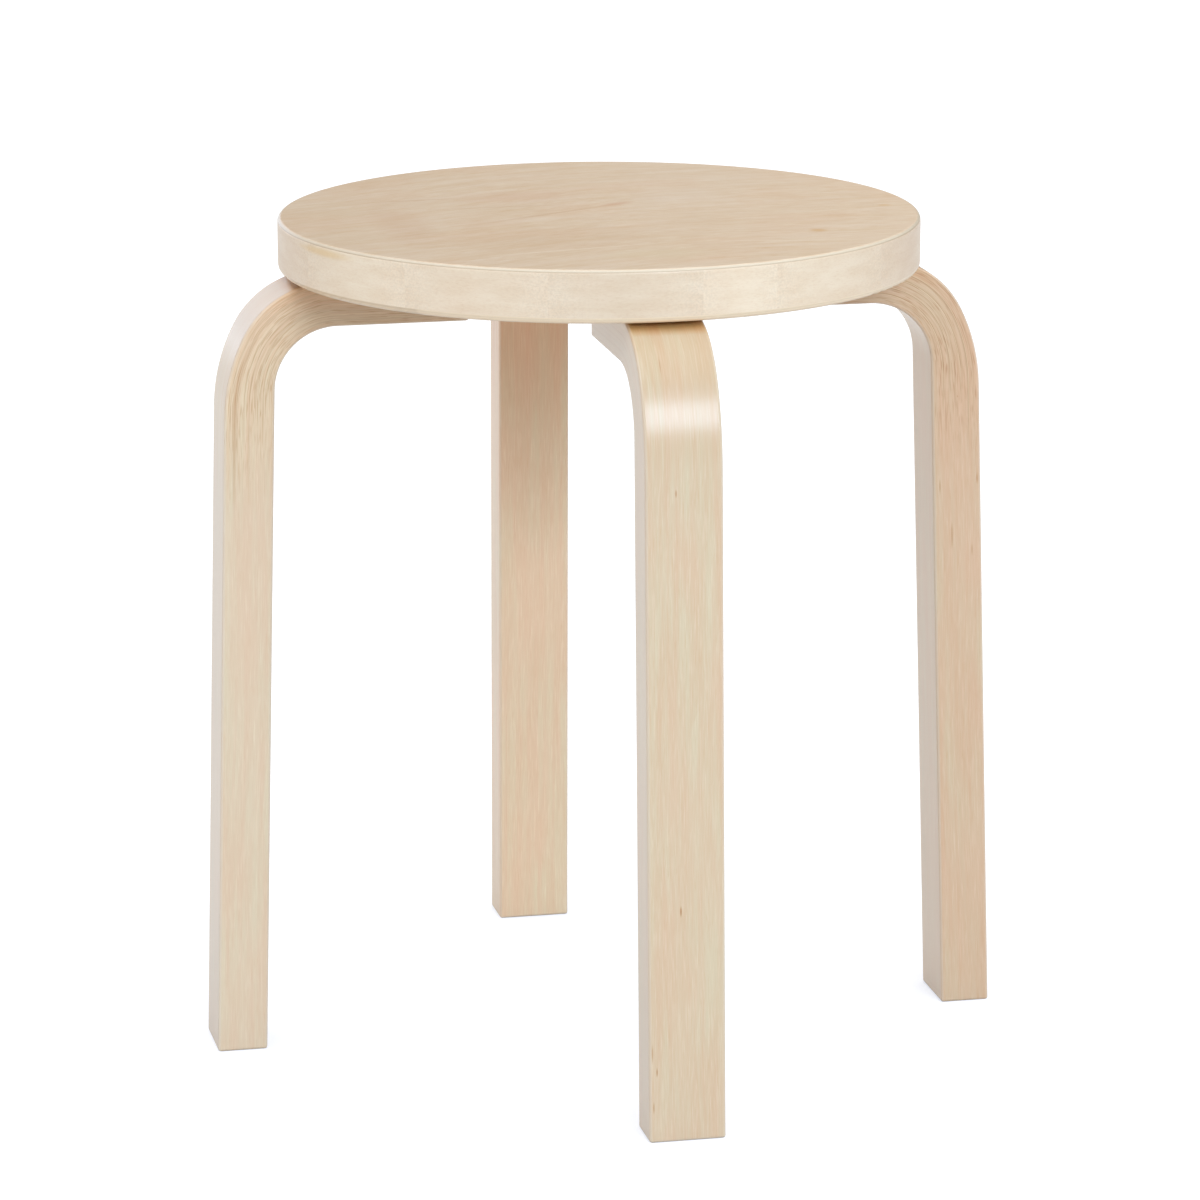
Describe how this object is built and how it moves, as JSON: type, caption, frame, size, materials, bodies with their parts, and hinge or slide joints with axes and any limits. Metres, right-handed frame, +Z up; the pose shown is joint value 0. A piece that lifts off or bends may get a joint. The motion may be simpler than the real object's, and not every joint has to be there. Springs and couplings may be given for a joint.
{
  "type": "stacking stool",
  "caption": "Low round stacking stool: a thick wooden disc seat on bent wooden legs whose arms are screwed to its underside.",
  "frame": {"origin": "on the floor, under the middle of the seat", "axes": "+Z up along the stool's upright axis, +X towards the right leg, +Y towards the back leg"},
  "size_m": [0.4336, 0.4336, 0.45],
  "materials": {
    "face_veneer": "satin clear lacquer",
    "core_board": "raw board, hidden",
    "edge_birch": "satin clear lacquer",
    "leg_birch": "satin clear lacquer",
    "kerf_veneer": "satin clear lacquer",
    "screw_steel": "zinc plated"
  },
  "bodies": {
    "root": {"seat_top_veneer": "face_veneer", "seat_bottom_veneer": "face_veneer", "seat_core": "core_board", "edge_block_01": "edge_birch", "edge_block_02": "edge_birch", "edge_block_03": "edge_birch", "edge_block_04": "edge_birch", "edge_block_05": "edge_birch", "edge_block_06": "edge_birch", "edge_block_07": "edge_birch", "edge_block_08": "edge_birch", "edge_block_09": "edge_birch", "edge_block_10": "edge_birch", "edge_block_11": "edge_birch", "edge_block_12": "edge_birch", "edge_block_13": "edge_birch", "edge_block_14": "edge_birch", "right_leg": "leg_birch", "right_leg_kerf_veneer_1": "kerf_veneer", "right_leg_kerf_veneer_2": "kerf_veneer", "right_leg_kerf_veneer_3": "kerf_veneer", "right_leg_kerf_veneer_4": "kerf_veneer", "right_leg_kerf_veneer_5": "kerf_veneer", "right_leg_kerf_veneer_6": "kerf_veneer", "right_leg_kerf_veneer_7": "kerf_veneer", "right_leg_screws": "screw_steel", "back_leg": "leg_birch", "back_leg_kerf_veneer_1": "kerf_veneer", "back_leg_kerf_veneer_2": "kerf_veneer", "back_leg_kerf_veneer_3": "kerf_veneer", "back_leg_kerf_veneer_4": "kerf_veneer", "back_leg_kerf_veneer_5": "kerf_veneer", "back_leg_kerf_veneer_6": "kerf_veneer", "back_leg_kerf_veneer_7": "kerf_veneer", "back_leg_screws": "screw_steel", "left_leg": "leg_birch", "left_leg_kerf_veneer_1": "kerf_veneer", "left_leg_kerf_veneer_2": "kerf_veneer", "left_leg_kerf_veneer_3": "kerf_veneer", "left_leg_kerf_veneer_4": "kerf_veneer", "left_leg_kerf_veneer_5": "kerf_veneer", "left_leg_kerf_veneer_6": "kerf_veneer", "left_leg_kerf_veneer_7": "kerf_veneer", "left_leg_screws": "screw_steel", "front_leg": "leg_birch", "front_leg_kerf_veneer_1": "kerf_veneer", "front_leg_kerf_veneer_2": "kerf_veneer", "front_leg_kerf_veneer_3": "kerf_veneer", "front_leg_kerf_veneer_4": "kerf_veneer", "front_leg_kerf_veneer_5": "kerf_veneer", "front_leg_kerf_veneer_6": "kerf_veneer", "front_leg_kerf_veneer_7": "kerf_veneer", "front_leg_screws": "screw_steel"}
  },
  "joints": []
}
